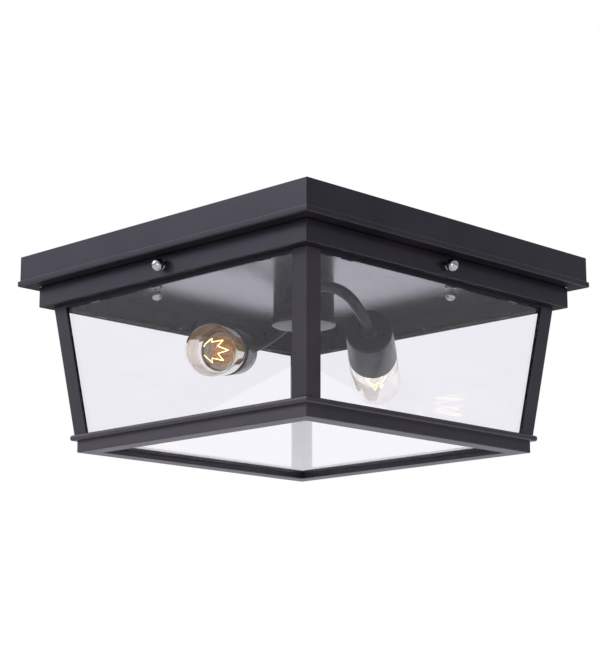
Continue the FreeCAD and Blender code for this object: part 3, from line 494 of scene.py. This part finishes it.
for arm in ARMS.values():
    sign = arm["sign"]
    leave = math.radians(arm["leave"])
    out = math.radians(arm["turn_out"])
    dip = math.radians(arm["dip"])
    arm["from_hub"] = sign * plan_spot(math.sin(leave), math.cos(leave), 0)
    arm["pointing"] = plan_spot(sign * math.sin(out) * math.cos(dip), -sign * math.cos(out) * math.cos(dip),
                                -math.sin(dip))
    socket_across, socket_along, socket_deep = arm["socket"]
    crown_across, crown_along, crown_deep = arm["crown"]
    arm["back"] = plan_spot(sign * socket_across, sign * socket_along, -socket_deep)
    level = Vector((0, 0, HUB_LEVEL))
    arm["route"] = [
        level + arm["from_hub"] * ARM_START,
        level + arm["from_hub"] * (HUB_RADIUS + arm["first_run"]),
        plan_spot(sign * crown_across, sign * crown_along, -crown_deep),
        arm["back"] - arm["pointing"] * arm["last_run"],
        arm["back"] + arm["pointing"] * ARM_INTO_SOCKET]
    facing = arm["pointing"].to_track_quat("Z", "Y").to_matrix().to_4x4()
    arm["place"] = Matrix.Translation(arm["back"] * MM) @ facing


def bent_tube(name, arm):
    """A round tube drawn along the arm's route: straight runs, with each corner spun to its bend."""
    route = arm["route"]
    bpy.ops.object.select_all(action="DESELECT")
    bpy.ops.mesh.primitive_circle_add(
        vertices=28, radius=ARM_RADIUS * MM, location=route[0] * MM,
        rotation=arm["from_hub"].to_track_quat("Z", "Y").to_euler())
    piece = bpy.context.object
    piece.name = name
    bpy.ops.object.mode_set(mode="EDIT")
    bpy.ops.mesh.select_all(action="SELECT")
    here = route[0]
    for index, bend in enumerate(arm["bends"], 1):
        corner = route[index]
        before = (route[index - 1] - corner).normalized()
        after = (route[index + 1] - corner).normalized()
        half_turn = (math.pi - before.angle(after)) / 2
        setback = bend * math.tan(half_turn)
        arc_start = corner + before * setback
        bpy.ops.mesh.extrude_region_move(TRANSFORM_OT_translate={"value": (arc_start - here) * MM})
        centre = corner + (before + after).normalized() * (bend / math.cos(half_turn))
        bpy.ops.mesh.spin(steps=max(6, int(math.degrees(half_turn) * 2 / 5)), angle=2 * half_turn,
                          center=centre * MM, axis=before.cross(after))
        here = corner + after * setback
    bpy.ops.mesh.extrude_region_move(TRANSFORM_OT_translate={"value": (route[-1] - here) * MM})
    bpy.ops.mesh.select_all(action="SELECT")
    bpy.ops.mesh.remove_doubles(threshold=MERGE_WITHIN)
    bpy.ops.mesh.normals_make_consistent(inside=False)
    bpy.ops.object.mode_set(mode="OBJECT")
    bpy.ops.object.transform_apply(location=True, rotation=True, scale=True)
    bpy.ops.object.shade_smooth()
    wall = piece.modifiers.new("tube_wall", "SOLIDIFY")
    wall.thickness = ARM_WALL * MM
    wall.offset = -1
    bpy.ops.object.modifier_apply(modifier=wall.name)
    return piece


woven_sleeve = coating("woven_sleeve", (0.01, 0.01, 0.01, 1), (0.03, 0.03, 0.03, 1), 0.6, 0.8, 1.0)
for side, arm in ARMS.items():
    tube = bent_tube("arm_tube_" + side, arm)
    coated(tube, satin_paint)
    stands_for(tube, "arm_" + side)
    lathed("arm_ring_turning_" + side, eased_outline([
        (4.8, 0), (6.8, 0), (6.8, -3.0, 1.3), (4.8, -3.0, 0.3), (4.8, 0)]),
        arm["place"], satin_paint, "arm_ring_" + side, corners=40)
    eased_copy("arm_nuts_" + side, 0.4, zinc_plate)
    eased_copy("socket_lead_" + side, 0.2, woven_sleeve)

# ------------------------------------------------------------------ lamp sockets
# A drawn steel cup, painted, holds a glazed insulator with a brass screw shell and a sprung brass
# contact. The cup's back edge is rounded, and its mouth is left plain.

glazed_white = coating("glazed_insulator", (0.62, 0.59, 0.53, 1), (0.74, 0.71, 0.65, 1), 0.15, 0.25, 0.2)
bright_brass = plated_metal("bright_brass", (0.80, 0.58, 0.20, 1), (0.62, 0.43, 0.12, 1), 0.16, 0.3)


for side, arm in ARMS.items():
    lathed("socket_cup_drawing_" + side, eased_outline([
        (4.8, 0), (20.3, 0, 1.7), (21.5, 58.5, 0.5), (20.3, 58.5, 0.4), (19.1, 1.2, 0.6), (4.8, 1.2),
        (4.8, 0)]), arm["place"], satin_paint, "socket_cup_" + side)
    lathed("socket_insulator_moulding_" + side, eased_outline([
        (0, 18), (18.9, 18, 1.0), (18.9, 56.5, 0.8), (13.9, 56.5, 0.9), (13.9, 27, 0.3), (4.1, 27, 0.3),
        (4.1, 24), (0, 24)]), arm["place"], glazed_white, "socket_insulator_" + side)
    lathed("screw_shell_rolling_" + side, [
        (13.3, 28), (13.8, 28)] + [(13.55 + 0.25 * math.cos(step * math.tau / 6), 30 + step * 3.4 / 6)
                                   for step in range(37)] + [(13.8, 54.5), (13.3, 54.5)]
        + [(13.05 + 0.25 * math.cos(step * math.tau / 6), 30 + step * 3.4 / 6)
           for step in range(36, -1, -1)] + [(13.3, 28)],
        arm["place"], bright_brass, "screw_shell_" + side)
    eased_copy("centre_contact_" + side, 0.2, bright_brass)

# ------------------------------------------------------------------ lamps
# Clear blown lamps with a long body and a round end. A rolled brass screw base holds the neck, and
# a glass stem inside carries two lead wires and hooks for the zigzag filament, which is alight.

GLOBE_RADIUS = 22.3
GLOBE_HEIGHT = 122.0
NECK_RADIUS = 11.4
BODY_RADIUS = 21.6
NECK_LOW = 46.0
GLASS_WALL = 0.8
FILAMENT_LOW, FILAMENT_HIGH, FILAMENT_RING = 100.5, 126.5, 11.0
GLOW_COLOUR = (1.0, 0.60, 0.22, 1)
GLOW_PALER = (1.0, 0.72, 0.36, 1)
# Amber emission for lamp glass: a painted glow of warm light, for the glass is no lamp.
PAINTED_GLOW_IN_GLASS = (1.0, 0.56, 0.20, 1)
WIRE_COLOUR = (0.5, 0.33, 0.16, 1)
GLOW_STRENGTH = 4.0


def clear_glass(name, tint, dust, ripple_strength, lit=0.0, ior=1.45):
    """Clear glass with faint dust clouds and a hardly visible ripple. Lit gives it a faint amber painted
    glow, though glass is no lamp.
    """
    material = bpy.data.materials.new(name)
    tree = nodes_of(material)
    ripple = add(tree, "ShaderNodeTexNoise", Scale=18.0, Detail=1.0, Roughness=0.4)
    haze = add(tree, "ShaderNodeTexNoise", Scale=60.0, Detail=4.0, Roughness=0.6)
    object_textures(tree, ripple, haze)
    surfaced(tree, {"Roughness": 0.0, "IOR": ior, "Transmission_Weight": 1.0,
                    "Emission_Color": PAINTED_GLOW_IN_GLASS, "Emission_Strength": lit},
             Base_Color=blended(tree, haze.outputs[0], tint, dust),
             Normal=bumped(tree, ripple.outputs[0], ripple_strength, 0.2 * MM))
    return material


def glowing_wire(name):
    """Coiled tungsten wire at working heat, a little brighter and darker along its coils."""
    material = bpy.data.materials.new(name)
    tree = nodes_of(material)
    coils = add(tree, "ShaderNodeTexNoise", Scale=700.0, Detail=1.0, Roughness=0.5)
    object_textures(tree, coils)
    surfaced(tree, {"Roughness": 0.4, "Base_Color": WIRE_COLOUR, "Metallic": 1.0,
                    "Emission_Strength": GLOW_STRENGTH},
             Emission_Color=blended(tree, coils.outputs[0], GLOW_COLOUR, GLOW_PALER))
    return material


def lamp_wall(inset):
    """Half outline of the blown glass from its neck to its crown, less an inset."""
    points = []
    for step in range(15):
        along = step / 14
        eased = along * along * (3 - 2 * along)
        points.append((NECK_RADIUS + (BODY_RADIUS - NECK_RADIUS) * eased - inset, 51.0 + 27.0 * along))
    for step in range(1, 5):
        points.append((BODY_RADIUS + (GLOBE_RADIUS - BODY_RADIUS) * step / 5 - inset,
                       78.0 + (GLOBE_HEIGHT - 78.0) * step / 5))
    for step in range(17):
        turn = step / 16 * math.pi / 2
        points.append(((GLOBE_RADIUS - inset) * math.cos(turn),
                       GLOBE_HEIGHT + (GLOBE_RADIUS - inset) * math.sin(turn)))
    points[-1] = (0.0, GLOBE_HEIGHT + GLOBE_RADIUS - inset)
    return points


def wire_through(name, paths, radius, place, material):
    """Round wires through these points, with their corners eased."""
    bpy.ops.object.select_all(action="DESELECT")
    bpy.ops.mesh.primitive_plane_add(size=0.001)
    piece = bpy.context.object
    piece.name = name
    bpy.ops.object.mode_set(mode="EDIT")
    bpy.ops.mesh.select_all(action="SELECT")
    bpy.ops.mesh.delete(type="VERT")
    for path in paths:
        bpy.ops.mesh.select_all(action="DESELECT")
        bpy.ops.mesh.primitive_plane_add(size=0.001)
        bpy.ops.mesh.merge(type="CENTER")
        bpy.ops.transform.translate(value=Vector(path[0]) * MM)
        for first, second in zip(path, path[1:]):
            bpy.ops.mesh.extrude_region_move(
                TRANSFORM_OT_translate={"value": (Vector(second) - Vector(first)) * MM})
    bpy.ops.mesh.select_all(action="SELECT")
    bpy.ops.mesh.bevel(offset=1.1 * MM, segments=5, affect="VERTICES")
    bpy.ops.object.mode_set(mode="OBJECT")
    bpy.ops.object.convert(target="CURVE")
    piece.data.bevel_depth = radius * MM
    piece.data.bevel_resolution = 2
    piece.data.use_fill_caps = True
    bpy.ops.object.convert(target="MESH")
    bpy.ops.object.shade_smooth()
    set_in_place(piece, place)
    coated(piece, material)
    return piece


# The stem glass's amber tint and faint glow, and the bulb glass's faint warm tint and glow, are painted warm
# light from the filament.
bulb_glass = clear_glass("bulb_glass", (1.0, 0.99, 0.97, 1), (1.0, 0.98, 0.95, 1), 0.2, 0.012)
stem_glass = clear_glass("stem_glass", (1.0, 0.88, 0.52, 1), (1.0, 0.82, 0.42, 1), 0.2, 0.07)
hot_wire = glowing_wire("hot_filament")
lead_wire = plated_metal("lead_wire", (0.66, 0.6, 0.5, 1), (0.5, 0.42, 0.34, 1), 0.25, 0.4)
for side, arm in ARMS.items():
    thread = [(12.7 + 0.3 * math.cos((step / 6 - 0.5) * math.tau), 30.6 + step * 3.4 / 6)
              for step in range(31)]
    lathed("lamp_base_rolling_" + side, [(0, 27.2), (3.2, 27.2), (4.2, 27.7), (5.0, 28.2), (9.0, 29.4),
                                         (12.2, 30.1)] + thread + [
        (12.6, 48.2), (13.0, 49.4), (13.0, 52.7), (12.8, 53.0), (12.6, 53.0), (12.5, 49.6), (12.0, 48.6),
        (12.0, 31.2), (0, 31.2)], arm["place"], bright_brass, "lamp_base_" + side)
    outer, inner = lamp_wall(0), lamp_wall(GLASS_WALL)
    lathed("lamp_glass_blown_" + side, [(NECK_RADIUS, NECK_LOW)] + outer + inner[::-1] + [
        (NECK_RADIUS - GLASS_WALL, NECK_LOW), (NECK_RADIUS, NECK_LOW)],
        arm["place"], bulb_glass, "lamp_glass_" + side, corners=96)
    lathed("lamp_stem_drawn_" + side, eased_outline([
        (0, 46.5), (10.4, 46.5, 0.5), (10.4, 48.0, 0.6), (3.4, 57.0, 9.0), (2.6, 90.0), (3.6, 94.0, 1.5),
        (3.4, 96.5, 1.4), (0, 96.5)]), arm["place"], stem_glass, "lamp_stem_" + side, corners=40)
    zigzag = []
    for step in range(13):
        turn = math.radians(200 + step * 320 / 12)
        reach = FILAMENT_RING * (0.62 if step % 2 else 1.0)
        zigzag.append((reach * math.cos(turn), reach * math.sin(turn),
                       FILAMENT_HIGH if step % 2 else FILAMENT_LOW))
    filament = wire_through("filament_coil_" + side, [zigzag], 0.32, arm["place"], hot_wire)
    stands_for(filament, "filament_" + side)
    leads = [[(point[0] * 0.15, point[1] * 0.15, 92.0), (point[0] * 0.6, point[1] * 0.6, 97.0), point]
             for point in (zigzag[0], zigzag[-1])]
    hooks = [[(point[0] * 0.12, point[1] * 0.12, 95.0), (point[0] * 0.3, point[1] * 0.3, 112.0),
              (point[0] * 0.98, point[1] * 0.98, point[2] + 0.6)] for point in zigzag[1:-1:2]]
    wires = wire_through("lamp_wires_" + side, leads + hooks, 0.2, arm["place"], lead_wire)
    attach(wires, "lamp_" + side)

# ------------------------------------------------------------------ ball nuts
# Two long nuts with ball ends screw onto the studs and pull the pan up to the ceiling. They are
# turned from bar, with a collar, a ridged neck and a ball, and are nickel plated and polished.

polished_nickel = plated_metal("polished_nickel", (0.52, 0.50, 0.50, 1), (0.44, 0.42, 0.42, 1), 0.10, 0.18)


def ball_end(centre, radius, neck, steps=16):
    """Outline of a ball from where it meets its neck to its end, going down."""
    start = math.asin(neck / radius)
    return [(radius * math.sin(start + (math.pi - start) * step / steps),
             centre + radius * math.cos(start + (math.pi - start) * step / steps))
            for step in range(steps)] + [(0, centre - radius)]


for side, sign in (("left", -1), ("right", 1)):
    place = Matrix.Translation(Vector((sign * STUD_REACH, sign * STUD_REACH, 0)) * MM)
    lathed("ball_nut_turning_" + side, [
        (2.15, -35.1), (2.15, -27.0), (4.9, -27.0), (5.2, -27.3), (5.2, -28.4), (4.8, -28.8),
        (4.0, -28.9), (3.7, -29.2), (3.7, -29.6), (4.1, -29.8), (4.1, -30.2), (3.7, -30.5)]
        + ball_end(-34.1, 4.9, 3.5) + [(0, -35.1), (2.15, -35.1)],
        place, polished_nickel, "ball_nut_" + side, corners=48)

# ------------------------------------------------------------------ cage ring and its weld nuts
# A square ring of folded sheet closes the cage at the top. Its flange is turned in under it, short
# lips point down behind each pane's top edge, and a nut is welded behind each thumbscrew's hole.

RING_UNDERSIDE = -45.5
top_ring = eased_copy("top_ring", 0.45, satin_paint, steps=3)
top_ring.data.materials.append(painted_shade_underside)
# The flange's downward faces take the paint that reflects little: painted shade under the ring's flange.
for face in top_ring.data.polygons:
    if face.normal.z < -0.99 and face.center.z < RING_UNDERSIDE * MM:
        face.material_index = 1
eased_copy("ring_weld_nuts", 0.3, zinc_plate)

# ------------------------------------------------------------------ thumbscrews
# One in the middle of each ring side: a screw with a shouldered neck and a ball for a head, turned
# from bar, nickel plated and polished. Their points bear on the pan's collar and hold the cage.

RING_MIDDLE = -36.45
BALL_OUT = 5.6
for side, degrees in (("east", 0), ("north", 90), ("west", 180), ("south", 270)):
    place = (Matrix.Translation((0, 0, RING_MIDDLE * MM)) @ Matrix.Rotation(math.radians(degrees), 4, "Z")
             @ Matrix.Rotation(math.radians(90), 4, "Y"))
    head = [(reach, 2 * (RING_FACE + BALL_OUT) - height)
            for reach, height in ball_end(RING_FACE + BALL_OUT, 5.3, 2.9)]
    lathed("thumbscrew_turning_" + side, [
        (0, 160.8), (1.5, 160.8), (2.0, 161.3), (2.0, RING_FACE + 0.1), (3.2, RING_FACE + 0.2),
        (3.4, RING_FACE + 0.4), (3.4, RING_FACE + 0.7), (3.0, RING_FACE + 0.9)] + head,
        place, polished_nickel, "thumbscrew_" + side, corners=48)

# ------------------------------------------------------------------ corner posts
# Four angles of folded steel lean inwards from the ring to the bottom frame and are welded to both.
# Their folds are slightly rounded, and their paint is rougher than the pan's.

# The posts' paint is also shinier, and its sheen is tinted warm: a brightened, warmed copy of the pan's
# paint, painted light for the brighter, warmer light on the posts.
WARM_PAINTED_SHEEN = (0.97, 0.89, 0.99, 1)
post_paint = coating("post_paint", SATIN_DARK, SATIN_WARM, 0.42, 0.5, 0.08, WARM_PAINTED_SHEEN,
                     Specular_IOR_Level=0.9)
for corner in ("near", "right", "far", "left"):
    eased_copy("corner_post_" + corner, 0.5, post_paint, steps=3)

# ------------------------------------------------------------------ side panes
# Four panes of clear float glass stand inside the posts, on the bottom frame's ledge. Their cut
# edges are seamed, and they show a trace of lilac from the sky.

pane_glass = clear_glass("pane_glass", (0.973, 0.971, 1.0, 1), (0.965, 0.963, 0.996, 1), 0.05)
for side in ("east", "north", "west", "south"):
    eased_copy("side_glass_" + side, 0.3, pane_glass)

# ------------------------------------------------------------------ bottom frame and bottom pane
# A folded square frame closes the cage: a rounded bead at the foot of the posts, a plain band, and
# a sill whose edge is turned up as a hem. The bottom pane lies on the hem and mirrors the floor.

bottom_frame = carried_round("bottom_frame_pressing", eased_outline([
    (139.9, -159.5, 0.2), (144.0, -159.5, 2.3), (144.0, -164.7, 1.8), (139.5, -164.7, 0.3),
    (139.5, -174.9, 0.7), (123.5, -174.9, 0.5), (123.5, -170.9, 0.4), (124.7, -170.9, 0.4),
    (124.7, -173.7, 0.3), (138.0, -173.7, 0.3), (138.0, -165.9, 0.3), (133.24, -165.9, 0.3),
    (133.24, -164.7, 0.3), (139.34, -164.7), (139.34, -163.5), (139.9, -163.5), (139.9, -159.7)]),
    corners=4)
edges_eased(bottom_frame, 0.8, 3)
# The frame's paint carries the same warm painted sheen as the posts.
frame_paint = coating("frame_paint", SATIN_DARK, SATIN_WARM, 0.38, 0.46, 0.08, WARM_PAINTED_SHEEN, IOR=1.65)
coated(bottom_frame, frame_paint)
stands_for(bottom_frame, "bottom_frame")
bottom_pane_glass = clear_glass("bottom_pane_glass", (0.985, 0.985, 0.995, 1), (0.978, 0.978, 0.99, 1), 0.05,
                                ior=1.9)
eased_copy("bottom_glass", 0.3, bottom_pane_glass)

# ------------------------------------------------------------------ pane clips
# Small spring clips on the ring's flange, two to a side, keep the panes from rattling. Each is held
# by one short screw, and both are painted.

eased_copy("glass_clips", 0.2, satin_paint)
eased_copy("clip_screws", 0.3, satin_paint)

bpy.ops.object.select_all(action="DESELECT")
